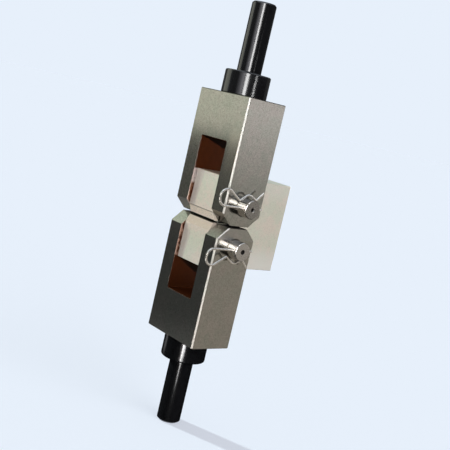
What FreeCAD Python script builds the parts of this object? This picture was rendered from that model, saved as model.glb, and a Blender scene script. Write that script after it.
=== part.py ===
import FreeCAD, Part
import Sketcher
import math
import os

# Clevis grips for tensile tests: two slotted blocks on round shanks, pinned to a compact
# tension specimen. Millimetres, +Z up along the load line, +X along the pins towards their
# clips. The origin is the centre of the upper shank's end face, and all the rest hangs below.
#
# Each sub-part is drawn in a frame of its own:
#   clevis    mouth face at z = 0, pin along X, crossbar above
#   shank     shoulder face at z = 0, free end above, screwed spigot below
#   specimen  notch plane at z = 0, load line at y = 0, back edge at +Y
#   pin       axis along X, middle of the grip at x = 0
#   clip      wire in the YZ plane, straight leg along the Y axis, loop at -Y

SIZES = {
    # clevis block
    "block_width": 50.0,
    "block_depth": 32.0,
    "block_height": 81.0,
    "slot_width": 25.4,
    "slot_depth": 51.0,
    "slot_corner_radius": 1.0,
    "mouth_chamfer_rise": 7.5,
    "mouth_chamfer_run": 8.0,
    "mouth_to_pin": 12.9,
    "edge_bevel": 1.0,
    "slope_edge_bevel": 0.5,
    "slot_edge_break": 0.3,
    "top_edge_break": 0.4,
    "pin_hole_chamfer": 0.5,
    # screwed joint between shank and block
    "spigot_diameter": 16.0,
    "spigot_length": 22.0,
    "spigot_end_chamfer": 1.2,
    "spigot_clearance": 0.05,
    "relief_width": 3.0,
    "relief_diameter": 13.0,
    "bore_run_out": 2.5,
    "bore_mouth_chamfer": 0.8,
    "drill_tip_angle": 118.0,
    # shank and its collar
    "shank_diameter": 16.0,
    "shank_length": 45.0,
    "shank_end_chamfer": 1.0,
    "shank_root_radius": 0.8,
    "collar_diameter": 30.0,
    "collar_height": 15.0,
    "collar_rim_radius": 1.0,
    "collar_base_chamfer": 0.4,
    # compact tension specimen
    "specimen_thickness": 25.0,
    "specimen_back_edge": 50.0,
    "specimen_front_edge": 13.7,
    "specimen_half_height": 30.0,
    "specimen_hole_diameter": 12.5,
    "specimen_hole_offset": 13.75,
    "specimen_edge_break": 0.3,
    "notch_mouth_half_height": 6.0,
    "notch_mouth_depth": 2.8,
    "notch_width": 1.2,
    "notch_tip_from_load_line": 10.0,
    "notch_tip_angle": 60.0,
    # loading pins
    "pin_diameter": 12.0,
    "pin_running_clearance": 0.05,
    "pin_tail": 8.7,
    "pin_end_chamfer": 0.3,
    "pin_head_diameter": 17.0,
    "pin_head_thickness": 4.0,
    "pin_head_chamfer": 0.8,
    "pin_head_gap": 0.2,
    "centre_drill_diameter": 3.2,
    "centre_pilot_diameter": 1.6,
    "centre_pilot_depth": 3.0,
    "centre_drill_angle": 60.0,
    # retaining clips, bent from round wire
    "wire_diameter": 1.6,
    "clip_from_block": 4.3,
    "clip_hole_clearance": 0.1,
    "clip_leg_tip": 11.2,
    "clip_loop_distance": 20.0,
    "clip_loop_radius": 5.3,
    "clip_bend_radius": 1.5,
    "clip_hump_radius": 4.5,
    "clip_first_dip_y": 8.8,
    "clip_first_dip_z": 4.4,
    "clip_hump_y": 2.0,
    "clip_hump_z": 9.3,
    "clip_second_dip_y": 4.8,
    "clip_second_dip_z": 5.7,
    "clip_flared_tip_y": 10.0,
    "clip_flared_tip_z": 11.0,
}

# heights along the load line, worked out downwards from the upper shank's end
SEAT_LEVEL = "-(Sizes.shank_length + Sizes.collar_height)"
UPPER_MOUTH_LEVEL = f"({SEAT_LEVEL} - Sizes.block_height)"
UPPER_PIN_LEVEL = f"({UPPER_MOUTH_LEVEL} + Sizes.mouth_to_pin)"
NOTCH_LEVEL = f"({UPPER_PIN_LEVEL} - Sizes.specimen_hole_offset)"
LOWER_PIN_LEVEL = f"({NOTCH_LEVEL} - Sizes.specimen_hole_offset)"
LOWER_MOUTH_LEVEL = f"({LOWER_PIN_LEVEL} + Sizes.mouth_to_pin)"
LOWER_SEAT_LEVEL = f"({LOWER_MOUTH_LEVEL} - Sizes.block_height)"

UPRIGHT = FreeCAD.Rotation()
UPSIDE_DOWN = FreeCAD.Rotation(FreeCAD.Vector(0, 1, 0), 180)
TOLERANCE = 1e-5

doc = FreeCAD.newDocument("tensile_test_grip")
sheet = doc.addObject("Spreadsheet::Sheet", "Sizes")
for row, (alias, size) in enumerate(SIZES.items(), start=1):
    sheet.set(f"A{row}", alias)
    sheet.set(f"B{row}", str(size))
    sheet.setAlias(f"B{row}", alias)
doc.recompute()


def value(expression):
    """The number that an expression on the sheet comes to."""
    result = sheet.evalExpression(expression)
    return float(getattr(result, "Value", result))


def new_body(label):
    """A body whose label names the sub-part."""
    body = doc.addObject("PartDesign::Body", label)
    body.Label = label
    return body


def new_sketch(body, name, plane_role):
    """An empty sketch on one of the body's origin planes."""
    sketch = body.newObject("Sketcher::SketchObject", name)
    plane = next(f for f in body.Origin.OriginFeatures if f.Role == plane_role)
    sketch.AttachmentSupport = [(plane, "")]
    sketch.MapMode = "FlatFace"
    return sketch


def pin_point(sketch, geometry, vertex, x, y):
    """Holds a sketch point at x and y, two expressions on the sheet."""
    for kind, expression, axis in (("DistanceX", x, -2), ("DistanceY", y, -1)):
        if expression == "0":
            sketch.addConstraint(Sketcher.Constraint("PointOnObject", geometry, vertex, axis))
            continue
        held = Sketcher.Constraint(kind, -1, 1, geometry, vertex, value(expression))
        index = sketch.addConstraint(held)
        sketch.setExpression(f"Constraints[{index}]", expression)


def add_outline(sketch, corners):
    """Closes straight lines through corners, each an x and a y expression."""
    places = [FreeCAD.Vector(value(x), value(y), 0) for x, y in corners]
    count = len(places)
    lines = [
        sketch.addGeometry(Part.LineSegment(places[n], places[(n + 1) % count]), False)
        for n in range(count)
    ]
    for n in range(count):
        joined = Sketcher.Constraint("Coincident", lines[n], 2, lines[(n + 1) % count], 1)
        sketch.addConstraint(joined)
        pin_point(sketch, lines[n], 1, *corners[n])


def add_circle(sketch, x, y, diameter):
    """A circle whose centre and diameter are expressions."""
    centre = FreeCAD.Vector(value(x), value(y), 0)
    shape = Part.Circle(centre, FreeCAD.Vector(0, 0, 1), value(diameter) / 2)
    circle = sketch.addGeometry(shape, False)
    pin_point(sketch, circle, 3, x, y)
    index = sketch.addConstraint(Sketcher.Constraint("Diameter", circle, value(diameter)))
    sketch.setExpression(f"Constraints[{index}]", diameter)


def pad_both_ways(body, name, sketch, thickness):
    """A pad of the whole thickness, half to each side of the sketch."""
    pad = body.newObject("PartDesign::Pad", name)
    pad.Profile = sketch
    pad.SideType = "Symmetric"
    pad.setExpression("Length", thickness)
    doc.recompute()
    return pad


def cut_both_ways(body, name, sketch):
    """A pocket through everything on both sides of the sketch."""
    before = body.Shape.Volume
    pocket = body.newObject("PartDesign::Pocket", name)
    pocket.Profile = sketch
    pocket.Type = "ThroughAll"
    pocket.SideType = "Symmetric"
    doc.recompute()
    assert body.Shape.Volume < before - TOLERANCE, f"{name} removed nothing"
    return pocket


def turn(body, name, sketch, axis, kind="PartDesign::Revolution"):
    """A full turn of a sketch about one of its own axes, H_Axis or V_Axis."""
    feature = body.newObject(kind, name)
    feature.Profile = sketch
    feature.ReferenceAxis = (sketch, [axis])
    feature.Angle = 360
    doc.recompute()
    return feature


def edges_where(feature, wanted):
    """Names of the feature's edges that the test picks out."""
    return [
        f"Edge{n}"
        for n, edge in enumerate(feature.Shape.Edges, start=1)
        if wanted(edge)
    ]


def dress(body, kind, name, feature, edges, size_name, size):
    """A fillet or chamfer of the named size on some edges of a feature."""
    assert edges, f"{name} found no edge"
    dressing = body.newObject(kind, name)
    dressing.Base = (feature, edges)
    dressing.setExpression(size_name, size)
    doc.recompute()
    return dressing


def is_circle_at(edge, axis, place, radius):
    """Whether an edge is a circle of a radius whose plane lies at a place along an axis."""
    if not isinstance(edge.Curve, Part.Circle):
        return False
    along = getattr(edge.Curve.Center, axis)
    return abs(along - place) < TOLERANCE and abs(edge.Curve.Radius - radius) < TOLERANCE


def make_clevis(label):
    """A block milled with a slot for the specimen, cross bored for the pin."""
    body = new_body(label)
    half_width = value("Sizes.block_width / 2")
    height = value("Sizes.block_height")

    side = new_sketch(body, f"{label}_side_profile", "YZ_Plane")
    half = "Sizes.block_depth / 2"
    flat = "(Sizes.block_depth / 2 - Sizes.mouth_chamfer_run)"
    add_outline(
        side,
        [
            (f"-{flat}", "0"),
            (flat, "0"),
            (half, "Sizes.mouth_chamfer_rise"),
            (half, "Sizes.block_height"),
            (f"-{half}", "Sizes.block_height"),
            (f"-{half}", "Sizes.mouth_chamfer_rise"),
        ],
    )
    pad_both_ways(body, f"{label}_block", side, "Sizes.block_width")

    front = new_sketch(body, f"{label}_slot_profile", "XZ_Plane")
    wall = "Sizes.slot_width / 2"
    below = "-Sizes.mouth_chamfer_rise"
    add_outline(
        front,
        [
            (f"-{wall}", below),
            (wall, below),
            (wall, "Sizes.slot_depth"),
            (f"-{wall}", "Sizes.slot_depth"),
        ],
    )
    slot = cut_both_ways(body, f"{label}_slot", front)

    def is_slot_corner(edge):
        low, high = edge.BoundBox.ZMin, edge.BoundBox.ZMax
        depth = value("Sizes.slot_depth")
        inside = abs(abs(edge.BoundBox.XMin) - value("Sizes.slot_width / 2")) < TOLERANCE
        flat_edge = edge.BoundBox.XLength < TOLERANCE
        return inside and flat_edge and abs(low - depth) < TOLERANCE and high - low < TOLERANCE

    rounded = dress(
        body,
        "PartDesign::Fillet",
        f"{label}_slot_corners",
        slot,
        edges_where(slot, is_slot_corner),
        "Radius",
        "Sizes.slot_corner_radius",
    )

    def is_slot_edge(edge):
        box = edge.BoundBox
        wall_place = value("Sizes.slot_width / 2")
        beside_slot = max(abs(box.XMin), abs(box.XMax)) < wall_place + TOLERANCE
        return beside_slot and box.YLength < value("Sizes.block_depth") - TOLERANCE

    broken = dress(
        body,
        "PartDesign::Chamfer",
        f"{label}_slot_edges",
        rounded,
        edges_where(rounded, is_slot_edge),
        "Size",
        "Sizes.slot_edge_break",
    )

    def is_outer_edge(edge, sloped):
        box = edge.BoundBox
        on_side = box.XLength < TOLERANCE and abs(abs(box.XMin) - half_width) < TOLERANCE
        return on_side and box.ZLength > TOLERANCE and (box.YLength > TOLERANCE) == sloped

    upright = dress(
        body,
        "PartDesign::Chamfer",
        f"{label}_bevels",
        broken,
        edges_where(broken, lambda edge: is_outer_edge(edge, False)),
        "Size",
        "Sizes.edge_bevel",
    )
    bevelled = dress(
        body,
        "PartDesign::Chamfer",
        f"{label}_slope_bevels",
        upright,
        edges_where(upright, lambda edge: is_outer_edge(edge, True)),
        "Size",
        "Sizes.slope_edge_bevel",
    )

    def is_top_edge(edge):
        return edge.BoundBox.ZMin > height - TOLERANCE

    dress(
        body,
        "PartDesign::Chamfer",
        f"{label}_top_edges",
        bevelled,
        edges_where(bevelled, is_top_edge),
        "Size",
        "Sizes.top_edge_break",
    )

    across = new_sketch(body, f"{label}_pin_hole_profile", "YZ_Plane")
    hole_diameter = "Sizes.pin_diameter + 2 * Sizes.pin_running_clearance"
    add_circle(across, "0", "Sizes.mouth_to_pin", hole_diameter)
    bored = cut_both_ways(body, f"{label}_pin_hole", across)
    dress(
        body,
        "PartDesign::Chamfer",
        f"{label}_pin_hole_chamfers",
        bored,
        edges_where(
            bored,
            lambda edge: any(
                is_circle_at(edge, "x", side * half_width, value(hole_diameter) / 2)
                for side in (-1, 1)
            ),
        ),
        "Size",
        "Sizes.pin_hole_chamfer",
    )

    deep = new_sketch(body, f"{label}_bore_profile", "XZ_Plane")
    radius = "(Sizes.spigot_diameter / 2 + Sizes.spigot_clearance)"
    bottom = "(Sizes.block_height - Sizes.spigot_length - Sizes.bore_run_out)"
    tip = f"({bottom} - {radius} / tan(Sizes.drill_tip_angle / 2 * 1 deg))"
    add_outline(
        deep,
        [
            ("0", tip),
            (radius, bottom),
            (radius, "Sizes.block_height - Sizes.bore_mouth_chamfer"),
            (f"{radius} + Sizes.bore_mouth_chamfer", "Sizes.block_height"),
            ("0", "Sizes.block_height"),
        ],
    )
    turn(body, f"{label}_bore", deep, "V_Axis", "PartDesign::Groove")
    return body


def make_shank(label):
    """A stud turned from one bar: gripping shank, shoulder collar and screwed spigot."""
    body = new_body(label)
    profile = new_sketch(body, f"{label}_profile", "XZ_Plane")
    spigot = "Sizes.spigot_diameter / 2"
    relief = "Sizes.relief_diameter / 2"
    collar = "Sizes.collar_diameter / 2"
    shank = "Sizes.shank_diameter / 2"
    end = "(Sizes.collar_height + Sizes.shank_length)"
    add_outline(
        profile,
        [
            ("0", "-Sizes.spigot_length"),
            (f"{spigot} - Sizes.spigot_end_chamfer", "-Sizes.spigot_length"),
            (spigot, "-Sizes.spigot_length + Sizes.spigot_end_chamfer"),
            (spigot, "-Sizes.relief_width"),
            (relief, "-Sizes.relief_width"),
            (relief, "0"),
            (f"{collar} - Sizes.collar_base_chamfer", "0"),
            (collar, "Sizes.collar_base_chamfer"),
            (collar, "Sizes.collar_height"),
            (shank, "Sizes.collar_height"),
            (shank, f"{end} - Sizes.shank_end_chamfer"),
            (f"{shank} - Sizes.shank_end_chamfer", end),
            ("0", end),
        ],
    )
    turned = turn(body, f"{label}_turning", profile, "V_Axis")
    top = value("Sizes.collar_height")
    rim = edges_where(turned, lambda edge: is_circle_at(edge, "z", top, value(collar)))
    rounded = dress(
        body,
        "PartDesign::Fillet",
        f"{label}_collar_rim",
        turned,
        rim,
        "Radius",
        "Sizes.collar_rim_radius",
    )
    root = edges_where(rounded, lambda edge: is_circle_at(edge, "z", top, value(shank)))
    dress(
        body,
        "PartDesign::Fillet",
        f"{label}_root",
        rounded,
        root,
        "Radius",
        "Sizes.shank_root_radius",
    )
    return body


def make_specimen(label):
    """A plate with two loading holes and a notch that opens at its front edge."""
    body = new_body(label)
    profile = new_sketch(body, f"{label}_profile", "YZ_Plane")
    front = "-Sizes.specimen_front_edge"
    back = "Sizes.specimen_back_edge"
    top = "Sizes.specimen_half_height"
    mouth = "Sizes.notch_mouth_half_height"
    throat = "(-Sizes.specimen_front_edge + Sizes.notch_mouth_depth)"
    slit = "Sizes.notch_width / 2"
    tip = "Sizes.notch_tip_from_load_line"
    taper = f"({tip} - {slit} / tan(Sizes.notch_tip_angle / 2 * 1 deg))"
    add_outline(
        profile,
        [
            (front, f"-{top}"),
            (back, f"-{top}"),
            (back, top),
            (front, top),
            (front, mouth),
            (throat, slit),
            (taper, slit),
            (tip, "0"),
            (taper, f"-{slit}"),
            (throat, f"-{slit}"),
            (front, f"-{mouth}"),
        ],
    )
    plate = pad_both_ways(body, f"{label}_plate", profile, "Sizes.specimen_thickness")

    half_thickness = value("Sizes.specimen_thickness / 2")
    limit = value("Sizes.notch_mouth_half_height")

    def is_outer_edge(edge):
        box = edge.BoundBox
        on_face = box.XLength < TOLERANCE and abs(abs(box.XMin) - half_thickness) < TOLERANCE
        return on_face and max(abs(box.ZMin), abs(box.ZMax)) > limit + TOLERANCE

    dress(
        body,
        "PartDesign::Chamfer",
        f"{label}_edge_breaks",
        plate,
        edges_where(plate, is_outer_edge),
        "Size",
        "Sizes.specimen_edge_break",
    )

    holes = new_sketch(body, f"{label}_hole_profile", "YZ_Plane")
    for place in ("Sizes.specimen_hole_offset", "-Sizes.specimen_hole_offset"):
        add_circle(holes, "0", place, "Sizes.specimen_hole_diameter")
    cut_both_ways(body, f"{label}_holes", holes)
    return body


def make_pin(label):
    """A headed pin with a centre-drilled end and a cross hole for its clip."""
    body = new_body(label)
    profile = new_sketch(body, f"{label}_profile", "XZ_Plane")
    radius = "Sizes.pin_diameter / 2"
    head = "Sizes.pin_head_diameter / 2"
    under_head = "(-Sizes.block_width / 2 - Sizes.pin_head_gap)"
    head_end = f"({under_head} - Sizes.pin_head_thickness)"
    end = "(Sizes.block_width / 2 + Sizes.pin_tail)"
    mouth = "Sizes.centre_drill_diameter / 2"
    pilot = "Sizes.centre_pilot_diameter / 2"
    cone = f"({mouth} - {pilot}) / tan(Sizes.centre_drill_angle / 2 * 1 deg)"
    drilled = f"({end} - {cone} - Sizes.centre_pilot_depth)"
    add_outline(
        profile,
        [
            (head_end, "0"),
            (head_end, f"{head} - Sizes.pin_head_chamfer"),
            (f"{head_end} + Sizes.pin_head_chamfer", head),
            (under_head, head),
            (under_head, radius),
            (f"{end} - Sizes.pin_end_chamfer", radius),
            (end, f"{radius} - Sizes.pin_end_chamfer"),
            (end, mouth),
            (f"{end} - {cone}", pilot),
            (drilled, pilot),
            (drilled, "0"),
        ],
    )
    turn(body, f"{label}_turning", profile, "H_Axis")
    cross = new_sketch(body, f"{label}_cross_hole_profile", "XZ_Plane")
    add_circle(
        cross,
        "Sizes.block_width / 2 + Sizes.clip_from_block",
        "0",
        "Sizes.wire_diameter + 2 * Sizes.clip_hole_clearance",
    )
    cut_both_ways(body, f"{label}_cross_hole", cross)
    return body


def add_line(sketch, start, end):
    """A straight stretch of wire between two points."""
    return sketch.addGeometry(Part.LineSegment(start, end), False)


def add_bend(sketch, before, corner, after, radius):
    """A rounded corner of the wire, and the points where it leaves its two straight runs."""
    inward = (before - corner).normalize()
    outward = (after - corner).normalize()
    half_turn = inward.getAngle(outward) / 2
    reach = radius / math.tan(half_turn)
    start = corner + inward * reach
    end = corner + outward * reach
    bisector = (inward + outward).normalize()
    centre = corner + bisector * (radius / math.sin(half_turn))
    middle = centre - bisector * radius
    arc = sketch.addGeometry(Part.Arc(start, middle, end), False)
    return arc, start, end


def end_near(sketch, geometry, point):
    """Which end of a line or an arc lies at a point: 1 for its start, 2 for its end."""
    distances = {n: sketch.getPoint(geometry, n).distanceToPoint(point) for n in (1, 2)}
    return min(distances, key=distances.get)


def make_clip(label):
    """A spring wire bent to a straight leg, a round loop and a waved leg that grips the pin."""
    body = new_body(label)
    path = new_sketch(body, f"{label}_wire_path", "YZ_Plane")
    loop = value("Sizes.clip_loop_radius")
    corners = [
        ("-Sizes.clip_first_dip_y", "Sizes.clip_first_dip_z"),
        ("-Sizes.clip_hump_y", "Sizes.clip_hump_z"),
        ("Sizes.clip_second_dip_y", "Sizes.clip_second_dip_z"),
        ("Sizes.clip_flared_tip_y", "Sizes.clip_flared_tip_z"),
    ]
    radii = ["Sizes.clip_bend_radius", "Sizes.clip_hump_radius", "Sizes.clip_bend_radius"]
    places = [FreeCAD.Vector(value(y), value(z), 0) for y, z in corners]
    leg_tip = FreeCAD.Vector(value("Sizes.clip_leg_tip"), 0, 0)
    centre = FreeCAD.Vector(-value("Sizes.clip_loop_distance"), loop, 0)
    leg_end = FreeCAD.Vector(centre.x, 0, 0)

    # the waved leg's first run leaves the loop along a tangent that points at the first dip
    to_dip = places[0] - centre
    tilt = math.atan2(to_dip.y, to_dip.x) + math.acos(loop / to_dip.Length)
    loop_end = centre + FreeCAD.Vector(math.cos(tilt), math.sin(tilt), 0) * loop
    half_way = (math.radians(-90) + tilt - 2 * math.pi) / 2
    loop_side = centre + FreeCAD.Vector(math.cos(half_way), math.sin(half_way), 0) * loop

    leg = add_line(path, leg_tip, leg_end)
    ring = path.addGeometry(Part.Arc(leg_end, loop_side, loop_end), False)
    chain = [(leg, leg_end), (ring, loop_end)]
    here = loop_end
    corner_points = []
    for n, corner in enumerate(places[:-1]):
        before = places[n - 1] if n else loop_end
        arc, start, end = add_bend(path, before, corner, places[n + 1], value(radii[n]))
        chain += [(add_line(path, here, start), start), (arc, end)]
        corner_points.append(corner)
        here = end
    last = add_line(path, here, places[-1])
    chain.append((last, places[-1]))

    joints = zip(chain, chain[1:])
    for (one, where), (other, _) in joints:
        ends = end_near(path, one, where), end_near(path, other, where)
        tangent = Sketcher.Constraint("Tangent", one, ends[0], other, ends[1])
        path.addConstraint(tangent)

    path.addConstraint(Sketcher.Constraint("PointOnObject", leg, 2, -1))
    pin_point(path, leg, 1, "Sizes.clip_leg_tip", "0")
    pin_point(path, ring, 3, "-Sizes.clip_loop_distance", "Sizes.clip_loop_radius")
    for n, corner in enumerate(corner_points):
        mark = path.addGeometry(Part.Point(corner), True)
        pin_point(path, mark, 1, *corners[n])
        for run in (chain[2 + 2 * n][0], chain[4 + 2 * n][0]):
            path.addConstraint(Sketcher.Constraint("PointOnObject", mark, 1, run))
        radius = Sketcher.Constraint("Radius", chain[3 + 2 * n][0], value(radii[n]))
        index = path.addConstraint(radius)
        path.setExpression(f"Constraints[{index}]", radii[n])
    pin_point(path, last, end_near(path, last, places[-1]), *corners[-1])
    doc.recompute()

    section = new_sketch(body, f"{label}_wire_section", "XZ_Plane")
    section.setExpression("AttachmentOffset.Base.z", "-Sizes.clip_leg_tip")
    add_circle(section, "0", "0", "Sizes.wire_diameter")
    doc.recompute()

    wire = body.newObject("PartDesign::AdditivePipe", f"{label}_wire")
    wire.Profile = section
    wire.Spine = (path, [])
    doc.recompute()
    return body


def place(body, level, rotation=UPRIGHT, sideways=None):
    """Puts a sub-part at a level on the load line, and sideways along the pin."""
    body.Placement = FreeCAD.Placement(FreeCAD.Vector(), rotation)
    body.setExpression("Placement.Base.z", level)
    if sideways:
        body.setExpression("Placement.Base.x", sideways)
    return body


CLIP_PLANE = "Sizes.block_width / 2 + Sizes.clip_from_block"
GRIPS = {
    "upper": (UPRIGHT, UPPER_MOUTH_LEVEL, SEAT_LEVEL, UPPER_PIN_LEVEL),
    "lower": (UPSIDE_DOWN, LOWER_MOUTH_LEVEL, LOWER_SEAT_LEVEL, LOWER_PIN_LEVEL),
}
sub_parts = [place(make_specimen("compact_specimen"), NOTCH_LEVEL)]
for name, (turned, mouth_level, seat_level, pin_level) in GRIPS.items():
    sub_parts += [
        place(make_clevis(f"{name}_clevis"), mouth_level, turned),
        place(make_shank(f"{name}_shank"), seat_level, turned),
        place(make_pin(f"{name}_loading_pin"), pin_level),
        place(make_clip(f"{name}_retaining_clip"), pin_level, turned, CLIP_PLANE),
    ]
doc.recompute()

for thing in doc.Objects:
    broken = {"Invalid", "Error"} & set(thing.State)
    assert not broken, f"{thing.Label} is {broken}"
for body in sub_parts:
    shape = body.Shape
    assert not shape.isNull() and shape.isValid(), f"{body.Label} has no sound shape"
    assert len(shape.Solids) == 1, f"{body.Label} has {len(shape.Solids)} solids"

os.makedirs("parts", exist_ok=True)
for body in sub_parts:
    body.Shape.exportStep(os.path.join("parts", f"{body.Label}.step"))
    print(f"{body.Label}: {body.Shape.Volume / 1000:.2f} cm3")
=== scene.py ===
import math

import bpy
from mathutils import Matrix, Vector

# A tensile test grip over a pale studio floor: the materials of its blocks, shanks, pins, clips
# and specimen, and the camera, lamps and cards round it. Lengths are in metres, apart from those
# in millimetres that the materials are laid out by. Colours are linear.

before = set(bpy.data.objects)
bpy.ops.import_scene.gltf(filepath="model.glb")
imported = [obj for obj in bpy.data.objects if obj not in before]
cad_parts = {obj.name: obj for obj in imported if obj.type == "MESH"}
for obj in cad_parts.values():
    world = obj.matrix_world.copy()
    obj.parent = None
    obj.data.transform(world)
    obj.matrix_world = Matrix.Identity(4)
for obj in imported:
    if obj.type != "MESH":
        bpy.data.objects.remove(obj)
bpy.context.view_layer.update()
MM = 0.001

# Places on the part in millimetres: X along the pins towards their clips, Y from the mouth of the
# notch to the back of the specimen, Z up along the load line.
NOTCH_LEVEL = -141.85
PIN_LEVELS = {"upper": -128.1, "lower": -155.6}
PIN_FROM_NOTCH = 13.75
PIN_END, PIN_HEAD_END = 33.7, -29.2
BLOCK_HALF_WIDTH, BLOCK_HALF_DEPTH = 25.0, 16.0
BLOCK_MOUTH_RISE, SLOPE_TOP_RISE, BLOCK_END_RISE = 0.85, 8.35, 81.85
SLOT_HALF_WIDTH, SLOT_EDGE_BREAK = 12.7, 0.3
SLOT_TOP, SLOT_BOTTOM = -90.0, -193.7
SHANK_RADIUS = 8.0
SPECIMEN_HALF_THICKNESS, SPECIMEN_HALF_HEIGHT, SPECIMEN_FRONT = 12.5, 30.0, -13.7
MOUTH_HALF_HEIGHT, MOUTH_BACK, NOTCH_TIP = 6.0, -9.0, 10.0
SLIT_HALF_WIDTH = 0.6

# How far out the dark ring round a pin's centre hole reaches in millimetres, how much of the
# middle of the hole is spared the dark, and how much darker the turned ends are: tarnish, with
# the difference between the two pins painted shade.
PIN_END_MARKS = {"upper": (1.3, 0.6, 0.78), "lower": (1.6, 0.0, 0.18)}

# The camera: its three turns are in radians, its lens and sensor in millimetres.
CAMERA_PLACE = (0.409076, -0.357101, -0.069633)
CAMERA_YAW, CAMERA_PITCH, CAMERA_ROLL = 0.8392, 0.1372, 0.2311
CAMERA_LENS, CAMERA_SENSOR = 66.373, 36.0
CLIP_START, CLIP_END = 0.01, 100.0

BACKGROUND = (0.799, 0.871, 0.965)
BLACK, WHITE = (0.0, 0.0, 0.0), (1.0, 1.0, 1.0)
UP = Vector((0.0, 0.0, 1.0))
MIDDLE = Vector((0.0, 0.0, -0.14))

# The even light from all round: strength and tint.
FILL, FILL_TINT = 0.25, (1.0, 0.99, 0.97)

# Suns: bearing and height in degrees, strength, spread in degrees, and tint.
SUNS = {
    "left_key": (-158, 28, 3.2, 3, (0.92, 1.0, 0.95)),
    "right_fill": (8, 30, 1.1, 50, (1.0, 0.98, 0.96)),
}
SUN_DISTANCE = 2.0

# The front key is a small square lamp near the camera. The slots' oxide is dark and dull, so more
# of it falls into them.
KEY_BEARING, KEY_DISTANCE, KEY_LEVEL, KEY_SIZE = -50, 0.416, 0.009, 0.016
KEY_STRENGTH, SLOT_KEY = 2.4, 2.4

# Soft lamps that are seen only as highlights: bearing and height in degrees, distance from the
# middle of the part, brightness, width and height, a kind of piece, and whether the lamp lights
# only those pieces or all but those.
SOFT_LAMPS = (
    ("front_strip", -48, 5.4, 1.4, 20.0, (0.075, 0.80), "shank", "EXCLUDE"),
    ("soft_box", -38, 19, 1.2, 5.2, (0.34, 0.54), "shank", "EXCLUDE"),
    ("overhead", -22, 54, 1.2, 2.4, (0.30, 0.30), "shank", "EXCLUDE"),
    ("collar_strip", -42, 5.4, 1.4, 11.0, (0.36, 0.80), "shank", "INCLUDE"),
    ("collar_side", 3, 4.6, 1.4, 14.0, (0.22, 0.055), "shank", "INCLUDE"),
    ("low_collar_left", -158, -40.5, 0.215, 0.50, (0.05, 0.06), "shank", "INCLUDE"),
    ("low_collar_strip", -43, -40.5, 0.215, 12.0, (0.036, 0.060), "shank", "INCLUDE"),
    ("low_neck_strip", -46, -54.0, 0.165, 8.0, (0.007, 0.090), "shank", "INCLUDE"),
    ("wire_light", 68, 28, 1.2, 1.4, (0.60, 0.50), "retaining_clip", "INCLUDE"),
    ("pin_head_light", 180, -14.4, 0.382, 0.45, (0.50, 0.09), "loading_pin", "INCLUDE"),
)

# The light that falls on the floor, where 1 makes white white, and how much of it comes back.
FLOOR_LIGHT = [
    FILL * FILL_TINT[n]
    + sum(sun[2] * math.sin(math.radians(sun[1])) * sun[4][n] for sun in SUNS.values()) / math.pi
    for n in range(3)
]
FLOOR_SHARE = 0.5
FLOOR_LEVEL, FLOOR_WIDTH = -283.8 * MM, 60.0
CARD_LEVEL = FLOOR_LEVEL + MM

# Standing cards, seen only in reflections: first and last bearing in degrees, distance, number of
# flat parts, and the colours that they glow with at each level.
DARK_ROOM, BACK_ROOM, LEFT_DARK = (0.07, 0.072, 0.072), (0.09, 0.09, 0.088), (0.14, 0.142, 0.128)
HIGH_LEFT, DIM_LEFT = (0.94, 1.05, 0.87), (0.38, 0.41, 0.33)
WALLS = (
    ("dark_room", -132, 22, 1.9, 14, ((CARD_LEVEL, DARK_ROOM), (1.6, DARK_ROOM))),
    ("back_room", 74, 191, 1.9, 12, ((CARD_LEVEL, BACK_ROOM), (2.4, BACK_ROOM))),
    ("left_card", -168, -134, 1.0, 6, ((-0.119, (0.96, 0.98, 0.82)), (0.36, (1.02, 1.03, 0.92)))),
    (
        "upper_left_card", -182, -128, 1.0, 6,
        (
            (0.36, (1.00, 1.10, 0.90)),
            (0.45, HIGH_LEFT),
            (0.67, HIGH_LEFT),
            (0.74, DIM_LEFT),
            (1.10, DIM_LEFT),
        ),
    ),
    ("left_flag", -185, -124, 1.02, 4, ((CARD_LEVEL, LEFT_DARK), (-0.12, LEFT_DARK))),
    (
        "right_card", 20, 75, 1.2, 5,
        (
            (-0.284, (0.44, 0.43, 0.395)),
            (-0.196, (0.49, 0.48, 0.455)),
            (-0.121, (0.70, 0.68, 0.655)),
            (0.0, (2.00, 1.94, 1.92)),
        ),
    ),
    ("right_flag", 20, 75, 1.2, 5, ((0.0, DARK_ROOM), (0.6, DARK_ROOM))),
)

# The mat on the floor, seen only in reflections, glows paler towards the right. It lies in two
# parts, because the undersides of the pins are dark and their ends are not.
MAT_ALONG, MAT_ASIDE, MAT_HALF_WIDTH = Vector((0.74, 0.67, 0.0)), Vector((-0.67, 0.74, 0.0)), 1.6
MAT_COLOURS = (
    (-1.5, (0.085, 0.088, 0.084)),
    (-0.30, (0.07, 0.074, 0.072)),
    (-0.20, (0.13, 0.134, 0.132)),
    (-0.08, (0.36, 0.35, 0.33)),
    (0.05, (0.42, 0.385, 0.335)),
    (1.5, (0.50, 0.46, 0.40)),
)
MAT_START, MAT_JOINT, MAT_END = -1.6, 0.42, 1.8

# A strip of light on the floor, from near the part outwards: distance and half width of each end.
STRIP_BEARING, STRIP_LIFT = -48, 0.004
STRIP_NEAR, STRIP_FAR = (0.12, 0.004), (1.40, 0.0375)
STRIP_COLOUR, STRIP_STRENGTH = (1.0, 0.95, 0.92), 12.0

# The soft edge beside the highlight on the black collars: a card whose colours go by the distance
# to the right, as seen from the part.
FALLOFF_BEARING, FALLOFF_START, FALLOFF_END, FALLOFF_DISTANCE = -72, -88, -55, 1.5
FALLOFF_LOW, FALLOFF_HIGH, FALLOFF_STEPS = -0.14, 0.4, 6
FALLOFF_COLOURS = (
    (-0.40, (2.3, 2.28, 2.4)),
    (-0.10, (0.95, 0.95, 1.02)),
    (0.40, BLACK),
)


def pieces(kind):
    """The upper and the lower piece of a kind."""
    return [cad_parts[side + "_" + kind] for side in PIN_LEVELS]


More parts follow.
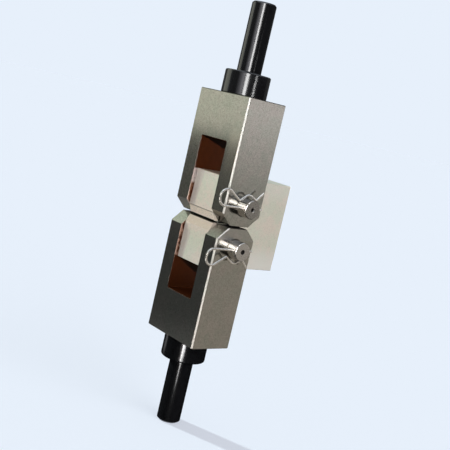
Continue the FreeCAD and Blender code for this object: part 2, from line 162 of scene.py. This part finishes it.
def make_camera():
    data = bpy.data.cameras.new("camera")
    data.lens, data.sensor_width = CAMERA_LENS, CAMERA_SENSOR
    data.clip_start, data.clip_end = CLIP_START, CLIP_END
    camera = bpy.data.objects.new("camera", data)
    bpy.context.scene.collection.objects.link(camera)
    turn = Matrix.Rotation(CAMERA_YAW, 4, "Z") @ Matrix.Rotation(math.pi / 2 - CAMERA_PITCH, 4, "X")
    roll = Matrix.Rotation(CAMERA_ROLL, 4, "Z")
    camera.matrix_world = Matrix.Translation(CAMERA_PLACE) @ turn @ roll
    bpy.context.scene.camera = camera


def put(tree, socket, value):
    """Gives an input a plain value, a colour or another node's output."""
    if isinstance(value, bpy.types.NodeSocket):
        tree.links.new(value, socket)
    elif socket.type == "RGBA":
        socket.default_value = (*value[:3], 1.0)
    else:
        socket.default_value = value


def add_node(tree, kind, inputs=None, **settings):
    node = tree.nodes.new(kind)
    for name, value in settings.items():
        setattr(node, name, value)
    for name, value in (inputs or {}).items():
        put(tree, node.inputs[name], value)
    return node


class Shading:
    """One material's nodes, called s by the functions that lay them out. Place is the point on
    the object in metres; x, y and z are the same in millimetres."""

    def __init__(self, name, metallic):
        self.material = bpy.data.materials.new(name)
        self.material.use_nodes = True
        self.tree = self.material.node_tree
        self.shader = self.tree.nodes["Principled BSDF"]
        self.set("Metallic", metallic)
        self.place = self.tree.nodes.new("ShaderNodeTexCoord").outputs["Object"]
        scaled = self.node("VectorMath", {0: self.place, "Scale": 1.0 / MM}, operation="SCALE")
        self.x, self.y, self.z = self.node("SeparateXYZ", {0: scaled.outputs["Vector"]}).outputs

    def node(self, kind, inputs, **settings):
        return add_node(self.tree, "ShaderNode" + kind, inputs, **settings)

    def set(self, name, value):
        put(self.tree, self.shader.inputs[name], value)

    def maths(self, operation, first, second=0.0):
        return self.node("Math", {0: first, 1: second}, operation=operation).outputs[0]

    def times(self, first, *others):
        for other in others:
            first = self.maths("MULTIPLY", first, other)
        return first

    def plus(self, first, *others):
        for other in others:
            first = self.maths("ADD", first, other)
        return first

    def minus(self, first, second):
        return self.maths("SUBTRACT", first, second)

    def larger(self, first, second):
        return self.maths("MAXIMUM", first, second)

    def size(self, value):
        return self.maths("ABSOLUTE", value)

    def length(self, first, second):
        """How long the slant is over two sides at a right angle."""
        squares = self.plus(self.times(first, first), self.times(second, second))
        return self.maths("SQRT", squares)

    def over(self, value, limit):
        return self.maths("GREATER_THAN", value, limit)

    def under(self, value, limit):
        return self.maths("LESS_THAN", value, limit)

    def step(self, value, low, high):
        """0 on low's side and 1 on high's side, with a smooth way between."""
        inputs = {"Value": value, "From Min": low, "From Max": high}
        return self.node("MapRange", inputs, interpolation_type="SMOOTHSTEP").outputs["Result"]

    def between(self, factor, low, high):
        """A number that goes from low to high with factor."""
        inputs = {"Value": factor, "To Min": low, "To Max": high}
        return self.node("MapRange", inputs).outputs["Result"]

    def blend(self, factor, first, second, share=1.0):
        """The first colour, with the second over it where factor is 1, to the given share."""
        if share != 1.0:
            factor = self.times(factor, share)
        node = self.node("Mix", {}, data_type="RGBA", blend_type="MIX")
        for number, value in ((0, factor), (6, first), (7, second)):
            put(self.tree, node.inputs[number], value)
        return node.outputs[2]

    def noise(self, scale, detail=3.0, roughness=0.55, stretch=None):
        """A noise between 0 and 1. Stretch multiplies the three coordinates first."""
        place = self.place
        if stretch is not None:
            place = self.node("VectorMath", {0: place, 1: stretch}, operation="MULTIPLY").outputs[0]
        inputs = {"Vector": place, "Scale": scale, "Detail": detail, "Roughness": roughness}
        return self.node("TexNoise", inputs).outputs["Fac"]

    def bump(self, height, distance):
        """Lifts the surface by height, where 1 is the given distance in millimetres."""
        inputs = {"Height": height, "Distance": distance * MM, "Strength": 1.0}
        self.set("Normal", self.node("Bump", inputs).outputs["Normal"])


def ground_steel(s, side):
    """The colour of the ground faces: warm and cool patches, specks, stains and a rubbed place."""
    cool, warm = (0.375, 0.38, 0.345), (0.42, 0.395, 0.37)
    pale_speck, dark_speck, stained = (0.47, 0.46, 0.43), (0.25, 0.243, 0.23), (0.23, 0.225, 0.20)
    rubbed_pale = (0.58, 0.54, 0.48)
    steel = s.blend(s.step(s.noise(140.0, 4.0), 0.35, 0.65), cool, warm)
    speck = s.noise(1460.0, 3.0, 0.8)
    grain = s.between(side, 0.62, 0.50)
    steel = s.blend(s.times(s.step(speck, 0.54, 0.38), grain), steel, pale_speck)
    steel = s.blend(s.times(s.step(speck, 0.48, 0.64), grain), steel, dark_speck)
    cloud = s.step(s.noise(330.0, 4.0, 0.6), 0.50, 0.72)
    steel = s.blend(s.times(cloud, s.between(side, 0.20, 0.12)), steel, stained)
    # The front of the upper right arm is rubbed paler in its middle.
    worn_and_shadowed = s.times(
        s.step(s.x, 11.0, 19.0),
        s.step(s.z, -119.0, -101.0),
        s.step(s.z, -78.0, -90.0),
        s.step(s.y, 0.5 - BLOCK_HALF_DEPTH, 0.1 - BLOCK_HALF_DEPTH),
    )
    return s.blend(worn_and_shadowed, steel, rubbed_pale, 0.8)


def slot_oxide(s, steel, slot, rise, deep, upper):
    """The brown oxide in the slots, and how thick it is. Beside the specimen it is rubbed off: in
    a pale patch at the upper corner, and mottled below."""
    thin, thick = (0.018, 0.0040, 0.0010), (0.038, 0.0100, 0.0030)
    lilac, rosy, rusty = (0.66, 0.58, 0.56), (0.40, 0.25, 0.19), (0.22, 0.11, 0.065)
    patch = s.noise(330.0, 6.0, 0.65)
    beside = s.times(
        s.step(rise, SPECIMEN_HALF_HEIGHT + 0.4, SPECIMEN_HALF_HEIGHT - 0.6),
        s.step(deep, 9.0, 12.0),
    )
    corner_patch = s.times(beside, s.step(rise, 19.0, 21.5), upper)
    near_mouth = s.step(deep, 14.2, 15.6)
    rub = s.times(beside, s.between(near_mouth, 0.10, 0.28))
    rub = s.larger(rub, s.times(corner_patch, 0.38))
    bare = s.times(beside, s.step(s.plus(patch, rub), 0.60, 0.78))
    coat = s.times(slot, s.minus(1.0, s.times(bare, 0.85)))
    brown = s.blend(patch, thin, thick)
    # Towards the bottom of the lower slot the oxide is painted darker, as painted shade.
    brown = s.blend(s.step(s.z, -174.0, -196.0), brown, BLACK, 0.42)
    # The lilac of the pale upper corner patch is partly painted reflection of the specimen beside
    # it.
    worn = s.blend(corner_patch, s.blend(upper, rosy, rusty), lilac)
    return s.blend(coat, s.blend(slot, steel, worn), brown), coat


def slot_mask(s, across, deep):
    """The slot's walls and ends, with the small break round its mouth on the outer faces."""
    reach = SLOT_EDGE_BREAK + 0.02
    return s.times(
        s.under(deep, BLOCK_HALF_DEPTH - 0.02),
        s.under(across, SLOT_HALF_WIDTH + reach),
        s.under(s.z, SLOT_TOP + reach),
        s.over(s.z, SLOT_BOTTOM - reach),
    )


def painted_edge_highlight(s, upper):
    """A painted highlight along the edge of the upper slot on the left: a pale line, fainter
    towards its top.
    """
    faint, clear = (0.060, 0.048, 0.040), (0.26, 0.19, 0.16)
    line = s.times(
        s.step(s.x, -SLOT_HALF_WIDTH - 0.75, -SLOT_HALF_WIDTH - 0.65),
        s.step(s.x, -SLOT_HALF_WIDTH - 0.02, -SLOT_HALF_WIDTH - 0.12),
        s.step(s.y, -8.5, -9.5),
        s.times(upper, s.under(s.z, SLOT_TOP - 1.0)),
    )
    return line, s.blend(s.step(s.z, -106.0, -130.0), faint, clear)


def block_steel():
    """Ground steel blocks, finely speckled, with a brown oxide left on the walls of the slot."""
    s = Shading("ground_block_steel", 1.0)
    across, deep = s.size(s.x), s.size(s.y)
    side = s.over(across, BLOCK_HALF_WIDTH - 0.1)
    rise = s.size(s.minus(s.z, NOTCH_LEVEL))
    upper = s.over(s.z, NOTCH_LEVEL)
    slot = slot_mask(s, across, deep)
    skin, coat = slot_oxide(s, ground_steel(s, side), slot, rise, deep, upper)

    # Painted shade darkens the downward slopes of the upper block, most on the right, the faces of
    # the narrow gap between the blocks, and the sharp rim of each far end next to the collars.
    slope_shade, gap_shade, rim_shade = (0.105, 0.10, 0.085), (0.022, 0.020, 0.018), (0.05, 0.048, 0.045)
    slope = s.step(rise, SLOPE_TOP_RISE + 0.05, SLOPE_TOP_RISE - 0.25)
    upper_slope = s.times(slope, upper)
    right_arm = s.over(s.x, 12.0)
    arms = s.times(s.between(right_arm, 0.30, 1.0), s.under(s.x, BLOCK_HALF_WIDTH - 0.6))
    skin = s.blend(s.times(upper_slope, arms), skin, slope_shade, 0.85)
    gap = s.under(rise, BLOCK_MOUTH_RISE + 0.1)
    skin = s.blend(gap, skin, gap_shade)
    far_rim = s.step(rise, BLOCK_END_RISE - 0.55, BLOCK_END_RISE - 0.30)
    skin = s.blend(far_rim, skin, rim_shade, 0.7)
    # The pale line is a painted highlight along the slot's edge.
    line, line_colour = painted_edge_highlight(s, upper)
    s.set("Base Color", s.blend(line, skin, line_colour))
    s.set("Metallic", s.minus(1.0, s.larger(s.larger(coat, gap), line)))
    s.set("Specular IOR Level", 0.06)

    # Polish: the upright bevels are dressed with a stone along their middle. The side faces are
    # duller away from the pins, and the lower slope is duller on the right.
    fine = s.noise(1500.0, 3.0)
    bevel_reach = BLOCK_HALF_WIDTH + BLOCK_HALF_DEPTH - 1.0
    bevel_middle = BLOCK_HALF_WIDTH - BLOCK_HALF_DEPTH
    bevel = s.step(s.plus(across, deep), bevel_reach - 0.06, bevel_reach - 0.02)
    from_middle = s.size(s.minus(s.minus(across, deep), bevel_middle))
    bevel_rim = s.times(bevel, s.step(from_middle, 0.55, 0.75))
    near_pin = s.step(s.size(s.minus(rise, PIN_FROM_NOTCH)), 22.0, 12.0)
    lower_slope = s.times(s.minus(slope, upper_slope), right_arm)
    polish = s.plus(
        s.between(fine, 0.11, 0.17),
        s.times(side, s.between(near_pin, 0.08, 0.02)),
        s.times(slot, 0.26),
        s.times(lower_slope, 0.14),
        s.times(gap, 0.55),
        s.times(bevel, 0.19),
        s.times(bevel_rim, 0.25),
    )
    s.set("Roughness", polish)
    lines = s.noise(1.0, 2.0, stretch=(5200.0, 5200.0, 260.0))
    s.bump(s.plus(s.times(lines, 0.6), fine), 0.0006)
    return s.material


def black_steel():
    """Blackened turned steel: fine rings round the axis break up the highlight."""
    deep, worn = (0.0050, 0.0050, 0.0060), (0.0145, 0.0145, 0.0165)
    s = Shading("black_oxide_steel", 0.0)
    s.set("Base Color", s.blend(s.noise(220.0, 4.0), deep, worn))
    rings = s.noise(1.0, 3.0, 0.7, stretch=(60.0, 60.0, 5200.0))
    mixed = s.plus(s.times(rings, 0.5), s.times(s.noise(1500.0, 3.0, 0.7), 0.5))
    s.set("Roughness", s.between(mixed, 0.04, 0.30))
    # The shank beyond the collar is duller on the side that lies towards the clips.
    on_shank = s.under(s.length(s.x, s.y), SHANK_RADIUS + 1.0)
    towards_clips = s.plus(s.times(s.x, 0.94), s.times(s.y, 0.34))
    dull = s.times(on_shank, s.step(towards_clips, 4.6, 5.7))
    s.set("Specular IOR Level", s.between(dull, 0.9, 0.18))
    s.bump(mixed, 0.0024)
    return s.material


def pin_steel(name, level, dark_reach, hole_shine, tarnish_and_shade):
    """A polished pin with turned ends and a dark ring round its centre hole."""
    bright, dull, tarnished, hole_dark = (
        (0.68, 0.655, 0.63),
        (0.56, 0.535, 0.51),
        (0.21, 0.20, 0.185),
        (0.035, 0.033, 0.03),
    )
    ring_step = 0.16
    s = Shading(name, 1.0)
    radius = s.length(s.y, s.minus(s.z, level))
    fine = s.noise(1300.0, 3.0)
    faced = s.larger(s.over(s.x, PIN_END - 0.06), s.under(s.x, PIN_HEAD_END + 0.06))
    hole = s.step(radius, dark_reach + 0.12, dark_reach - 0.12)
    inner = s.times(s.step(radius, 0.75, 0.55), hole_shine)
    # The turned ends are darkened as tarnish; how much differs between the two pins is painted
    # shade.
    skin = s.blend(faced, s.blend(fine, bright, dull), tarnished, tarnish_and_shade)
    s.set("Base Color", s.blend(s.times(hole, s.minus(1.0, inner)), skin, hole_dark))
    gloss = s.plus(
        s.between(fine, 0.14, 0.22), s.times(faced, 0.10), s.times(s.step(radius, 1.5, 1.2), 0.5)
    )
    s.set("Roughness", gloss)
    rings = s.times(s.maths("SINE", s.times(radius, 2 * math.pi / ring_step)), faced)
    lines = s.noise(1.0, 2.0, stretch=(5200.0, 90.0, 90.0))
    s.bump(s.plus(s.times(rings, 0.35), lines), 0.0010)
    return s.material


def spring_wire():
    """Bright drawn wire with small dull patches."""
    s = Shading("bright_spring_wire", 1.0)
    fine = s.noise(900.0, 3.0)
    s.set("Base Color", s.blend(fine, (0.82, 0.80, 0.77), (0.58, 0.56, 0.53)))
    s.set("Roughness", s.between(fine, 0.14, 0.27))
    s.bump(fine, 0.002)
    return s.material


def painted_arm_shadow(s, rise, over):
    """A painted shadow of the left arm along the left of the specimen's front. Its edge leans,
    further to the left above the notch than below it, and it starts aslant under the notch."""
    out_of_reach = 1000.0
    edge = s.plus(s.times(s.minus(s.z, NOTCH_LEVEL), 0.125), s.between(over, -3.3, -8.0))
    # Above the notch only the leaning edge counts, so the slanted start is out of reach there.
    start = s.minus(s.times(rise, 1.1), 18.5)
    edge = s.maths("MINIMUM", edge, s.plus(start, s.times(over, out_of_reach)))
    on_front = s.under(s.y, SPECIMEN_FRONT + 0.1)
    return s.times(s.step(s.minus(s.x, edge), 0.7, -0.5), on_front)


def specimen_alloy():
    """Milled plate, pale and blotched, pinker round the mouth of the notch."""
    green, pink, worn_and_shadowed = (0.525, 0.535, 0.42), (0.61, 0.515, 0.43), (0.48, 0.41, 0.36)
    darkened_lower_facet, lightened_upper_facet = (0.43, 0.345, 0.27), (0.93, 0.775, 0.625)
    dark_speck, pale_patch, pale_ends_colour = (0.33, 0.30, 0.245), (0.66, 0.65, 0.58), (0.69, 0.665, 0.625)
    lip_shadow, slit_shade = (0.14, 0.115, 0.08), (0.012, 0.010, 0.008)
    brown_stain, lit_end_colour = (0.32, 0.21, 0.16), (0.66, 0.70, 0.65)

    s = Shading("milled_specimen_alloy", 0.25)
    broad, small = s.noise(95.0, 5.0, 0.6), s.noise(420.0, 4.0, 0.6)
    speck = s.noise(1300.0, 3.0, 0.7)
    rise = s.size(s.minus(s.z, NOTCH_LEVEL))
    over = s.step(s.z, NOTCH_LEVEL - 0.5, NOTCH_LEVEL + 0.5)
    front = s.step(s.y, MOUTH_BACK + 0.6, MOUTH_BACK)
    wander = s.times(s.minus(s.plus(small, broad), 1.0), 13.0)
    mouth = s.times(front, s.step(s.plus(rise, wander), 11.5, 7.5))
    tone = s.step(s.plus(s.times(small, 0.45), broad), 0.58, 0.92)
    skin = s.blend(s.larger(tone, mouth), green, pink)
    # The strip along the left of the front is a painted shadow of the left arm.
    skin = s.blend(painted_arm_shadow(s, rise, over), skin, worn_and_shadowed, 0.85)
    # The notch's facets are painted lighter above and darker below: painted light on the upper
    # facet, which faces down, and painted shade on the lower one, which faces up.
    facets = s.times(front, s.step(rise, MOUTH_HALF_HEIGHT + 0.1, MOUTH_HALF_HEIGHT - 0.1))
    skin = s.blend(facets, skin, s.blend(over, darkened_lower_facet, lightened_upper_facet), 0.9)
    skin = s.blend(s.step(speck, 0.50, 0.66), skin, dark_speck, 0.62)
    skin = s.blend(s.step(small, 0.55, 0.75), skin, pale_patch, 0.35)

    # The sides are paler towards both ends, most at the lower one; the front takes a little of it.
    sides = s.over(s.size(s.x), SPECIMEN_HALF_THICKNESS - 0.1)
    ends = s.times(s.step(rise, 4.0, 28.0), s.between(over, 0.85, 0.50))
    paler_ends = s.times(s.larger(ends, 0.25), s.between(sides, 0.28, 1.0))
    skin = s.blend(paler_ends, skin, pale_ends_colour)

    # A thin dark line, a painted shadow, runs along the upper lip of the notch.
    lip = s.times(
        s.step(rise, MOUTH_HALF_HEIGHT - 0.45, MOUTH_HALF_HEIGHT - 0.25),
        s.step(rise, MOUTH_HALF_HEIGHT + 0.4, MOUTH_HALF_HEIGHT + 0.2),
        over,
        front,
    )
    skin = s.blend(lip, skin, lip_shadow, 0.8)

    # The upper end is stained brown inside the slot and painted pale outside it, a painted light on
    # the face that looks up. The slit behind the notch's mouth is painted dark, as painted shade.
    end = s.over(s.z, NOTCH_LEVEL + SPECIMEN_HALF_HEIGHT - 0.1)
    skin = s.blend(end, skin, s.blend(s.step(s.y, 9.0, 14.0), brown_stain, lit_end_colour), 0.8)
    # The slit is painted dark: painted shade in the narrow slit.
    slit = s.times(
        s.step(rise, SLIT_HALF_WIDTH + 0.5, SLIT_HALF_WIDTH + 0.3),
        s.under(s.y, NOTCH_TIP + 1.0),
        s.minus(1.0, sides),
    )
    s.set("Base Color", s.blend(slit, skin, slit_shade))
    s.set("Specular IOR Level", s.between(slit, 0.5, 0.0))
    s.set("Roughness", s.between(small, 0.42, 0.58))
    lines = s.noise(1.0, 2.0, stretch=(4200.0, 420.0, 4200.0))
    s.bump(s.plus(lines, speck), 0.0015)
    return s.material


def dress(node, material):
    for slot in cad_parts[node].material_slots:
        slot.material = material


def seen_by_the_eye(tree):
    """1 for rays from the camera and in reflections, and 0 for the light that falls on things."""
    path = tree.nodes.new("ShaderNodeLightPath").outputs
    seen = path["Is Camera Ray"]
    for kind in ("Is Glossy Ray", "Is Transmission Ray"):
        inputs = {0: seen, 1: path[kind]}
        seen = add_node(tree, "ShaderNodeMath", inputs, operation="MAXIMUM").outputs[0]
    return seen


def empty_tree(owner):
    owner.use_nodes = True
    owner.node_tree.nodes.clear()
    return owner.node_tree


def finish_tree(tree, kind, surface):
    """Sends a surface to the tree's output."""
    tree.links.new(surface.outputs[0], tree.nodes.new(kind).inputs["Surface"])


def make_world():
    """The pale backdrop for the camera and for reflections, and an even light on everything."""
    world = bpy.data.worlds.new("studio")
    bpy.context.scene.world = world
    tree = empty_tree(world)
    fill = add_node(tree, "ShaderNodeBackground", {"Color": FILL_TINT, "Strength": FILL})
    shown = add_node(tree, "ShaderNodeBackground", {"Color": BACKGROUND, "Strength": 1.0})
    inputs = {0: seen_by_the_eye(tree), 1: fill.outputs[0], 2: shown.outputs[0]}
    finish_tree(tree, "ShaderNodeOutputWorld", add_node(tree, "ShaderNodeMixShader", inputs))


def add_mesh(name, places, faces, material):
    mesh = bpy.data.meshes.new(name)
    mesh.from_pydata([tuple(place) for place in places], [], faces)
    mesh.materials.append(material)
    thing = bpy.data.objects.new(name, mesh)
    bpy.context.scene.collection.objects.link(thing)
    return thing


def make_floor():
    """A pale floor that takes the object's shadow. Its own pale colour for the camera and for
    reflections makes up what the lamps leave it short of the backdrop."""
    material = bpy.data.materials.new("pale_floor")
    tree = empty_tree(material)
    matt = [FLOOR_SHARE * c for c in BACKGROUND]
    own = [c * (1.0 - FLOOR_SHARE * light) for c, light in zip(BACKGROUND, FLOOR_LIGHT)]
    coat = add_node(tree, "ShaderNodeBsdfDiffuse", {"Color": matt})
    inputs = {"Color": own, "Strength": seen_by_the_eye(tree)}
    pale = add_node(tree, "ShaderNodeEmission", inputs)
    both = add_node(tree, "ShaderNodeAddShader", {0: coat.outputs[0], 1: pale.outputs[0]})
    finish_tree(tree, "ShaderNodeOutputMaterial", both)
    half = FLOOR_WIDTH / 2
    corners = [(-half, -half), (half, -half), (half, half), (-half, half)]
    add_mesh("floor", [(*c, FLOOR_LEVEL) for c in corners], [(0, 1, 2, 3)], material)


def outward(bearing, elevation=0.0):
    """The direction at a bearing in degrees from +X towards +Y, and above the horizon."""
    b, e = math.radians(bearing), math.radians(elevation)
    return Vector((math.cos(e) * math.cos(b), math.cos(e) * math.sin(b), math.sin(e)))


def add_lamp(name, kind, place, tint=WHITE):
    """A lamp that shines from its place at the middle of the part, and isn't in the picture."""
    data = bpy.data.lights.new(name, kind)
    data.color = tint
    thing = bpy.data.objects.new(name, data)
    bpy.context.scene.collection.objects.link(thing)
    out = (place - MIDDLE).normalized()
    side = UP.cross(out).normalized()
    turn = Matrix((side, out.cross(side), out)).transposed().to_4x4()
    thing.matrix_world = Matrix.Translation(place) @ turn
    thing.visible_camera = False
    return thing


def add_panel(name, place, brightness, width, height):
    """A flat rectangular lamp, as bright as given however large it is."""
    thing = add_lamp(name, "AREA", place)
    thing.data.shape = "RECTANGLE"
    thing.data.size, thing.data.size_y = width, height
    thing.data.energy = brightness * math.pi * width * height
    return thing


def light_group(name, things, state):
    group = bpy.data.collections.new(name)
    for one in things:
        group.objects.link(one)
    for row in group.collection_objects:
        row.light_linking.link_state = state
    return group


def lights_only(thing, things, state="INCLUDE"):
    """Lets a lamp light only these objects, or with EXCLUDE all but these."""
    thing.light_linking.receiver_collection = light_group(thing.name + "_group", things, state)


def shines_past(thing, things):
    """Lets a lamp's light reach what it lights as if these objects weren't in its way."""
    group = light_group(thing.name + "_passed", things, "EXCLUDE")
    thing.light_linking.blocker_collection = group


def add_suns():
    for name, (bearing, elevation, strength, spread, tint) in SUNS.items():
        place = MIDDLE + outward(bearing, elevation) * SUN_DISTANCE
        sun = add_lamp(name, "SUN", place, tint)
        sun.data.energy, sun.data.angle = strength, math.radians(spread)
        sun.visible_glossy = False


def add_front_keys():
    """The slots get one key. The specimen's own leaves no shadow of the blocks on it."""
    place = outward(KEY_BEARING) * KEY_DISTANCE + UP * KEY_LEVEL
    glare = KEY_STRENGTH * (place - MIDDLE).length_squared / KEY_SIZE**2
    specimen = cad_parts["compact_specimen"]
    others = [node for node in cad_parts.values() if node is not specimen]
    slot_key = add_panel("slot_key", place, glare * SLOT_KEY, KEY_SIZE, KEY_SIZE)
    lights_only(slot_key, pieces("clevis"))
    plate_key = add_panel("plate_key", place, glare, KEY_SIZE, KEY_SIZE)
    lights_only(plate_key, [specimen])
    shines_past(plate_key, others)
    slot_key.visible_glossy = plate_key.visible_glossy = False


def add_soft_lamps():
    for name, bearing, elevation, distance, brightness, size, kind, state in SOFT_LAMPS:
        place = MIDDLE + outward(bearing, elevation) * distance
        panel = add_panel(name, place, brightness, *size)
        panel.visible_diffuse = False
        lights_only(panel, pieces(kind), state)


def glow(name, axis, stops, strength=1.0):
    """A glow whose colour changes along an object axis: stops are places and colours."""
    material = bpy.data.materials.new(name)
    tree = empty_tree(material)
    light = add_node(tree, "ShaderNodeEmission", {"Color": stops[0][1], "Strength": strength})
    finish_tree(tree, "ShaderNodeOutputMaterial", light)
    if len({colour for _, colour in stops}) == 1:
        return material
    low, high = stops[0][0], stops[-1][0]
    place = tree.nodes.new("ShaderNodeTexCoord").outputs["Object"]
    along = add_node(tree, "ShaderNodeVectorMath", {0: place, 1: axis}, operation="DOT_PRODUCT")
    inputs = {"Value": along.outputs["Value"], "From Min": low, "From Max": high}
    factor = add_node(tree, "ShaderNodeMapRange", inputs).outputs["Result"]
    ramp = add_node(tree, "ShaderNodeValToRGB", {"Fac": factor})
    elements = ramp.color_ramp.elements
    while len(elements) < len(stops):
        elements.new(0.5)
    for element, (where, _) in zip(elements, stops):
        element.position = (where - low) / (high - low)
    for element, (_, colour) in zip(elements, stops):
        element.color = (*colour, 1.0)
    put(tree, light.inputs["Color"], ramp.outputs["Color"])
    return material


def add_card(name, places, faces, material):
    """A card that is seen only in reflections."""
    thing = add_mesh(name, places, faces, material)
    thing.visible_camera = thing.visible_diffuse = thing.visible_shadow = False
    thing.visible_transmission = thing.visible_volume_scatter = False
    return thing


def add_wall(name, start, end, distance, steps, low, high, material):
    """A standing card that follows part of a circle round the object, from start to end."""
    places, faces = [], []
    for n in range(steps + 1):
        out = outward(start + (end - start) * n / steps) * distance
        places += [out + UP * low, out + UP * high]
    for n in range(steps):
        faces.append((2 * n, 2 * n + 2, 2 * n + 3, 2 * n + 1))
    return add_card(name, places, faces, material)


def add_floor_cards():
    """A strip of light and the two parts of the mat, just over the floor."""
    bearing = math.radians(STRIP_BEARING)
    out, aside = outward(STRIP_BEARING), Vector((-math.sin(bearing), math.cos(bearing), 0.0))
    lift = UP * (CARD_LEVEL + STRIP_LIFT)
    corners = []
    for (distance, half_width), way in (
        (STRIP_NEAR, -1), (STRIP_NEAR, 1), (STRIP_FAR, 1), (STRIP_FAR, -1),
    ):
        corners.append(out * distance + aside * (way * half_width) + lift)
    material = glow("low_strip", UP, ((0.0, STRIP_COLOUR),), STRIP_STRENGTH)
    add_card("low_strip", corners, [(0, 1, 2, 3)], material)

    mat = glow("floor_mat", MAT_ALONG, MAT_COLOURS)
    lift, half = UP * CARD_LEVEL, MAT_ASIDE * MAT_HALF_WIDTH
    shanks = pieces("shank")
    for name, start, end, unlit in (
        ("near_mat", MAT_START, MAT_JOINT, shanks + pieces("loading_pin")),
        ("far_mat", MAT_JOINT, MAT_END, shanks),
    ):
        near, far = MAT_ALONG * start + lift, MAT_ALONG * end + lift
        corners = [near - half, far - half, far + half, near + half]
        lights_only(add_card(name, corners, [(0, 1, 2, 3)], mat), unlit, "EXCLUDE")


def add_walls():
    """The studio round the part, as its polished faces see it. No card goes into the floor."""
    for name, start, end, distance, steps, stops in WALLS:
        low, high = max(stops[0][0], CARD_LEVEL), stops[-1][0]
        wall = add_wall(name, start, end, distance, steps, low, high, glow(name, UP, stops))
        if name == "right_card":
            lights_only(wall, pieces("shank"), "EXCLUDE")


def add_collar_falloff():
    bearing = math.radians(FALLOFF_BEARING)
    rightwards = (math.sin(bearing), -math.cos(bearing), 0.0)
    material = glow("collar_falloff", rightwards, FALLOFF_COLOURS)
    spread = (FALLOFF_START, FALLOFF_END, FALLOFF_DISTANCE, FALLOFF_STEPS)
    wall = add_wall("collar_falloff", *spread, FALLOFF_LOW, FALLOFF_HIGH, material)
    lights_only(wall, pieces("shank"))


bpy.context.scene.view_settings.view_transform = "Standard"
make_camera()
make_world()
make_floor()
add_suns()
add_front_keys()
add_soft_lamps()
add_floor_cards()
add_walls()
add_collar_falloff()

blocks, black, wire = block_steel(), black_steel(), spring_wire()
for side, end_marks in PIN_END_MARKS.items():
    dress(side + "_clevis", blocks)
    dress(side + "_shank", black)
    dress(side + "_loading_pin", pin_steel(side + "_pin_steel", PIN_LEVELS[side], *end_marks))
    dress(side + "_retaining_clip", wire)
dress("compact_specimen", specimen_alloy())
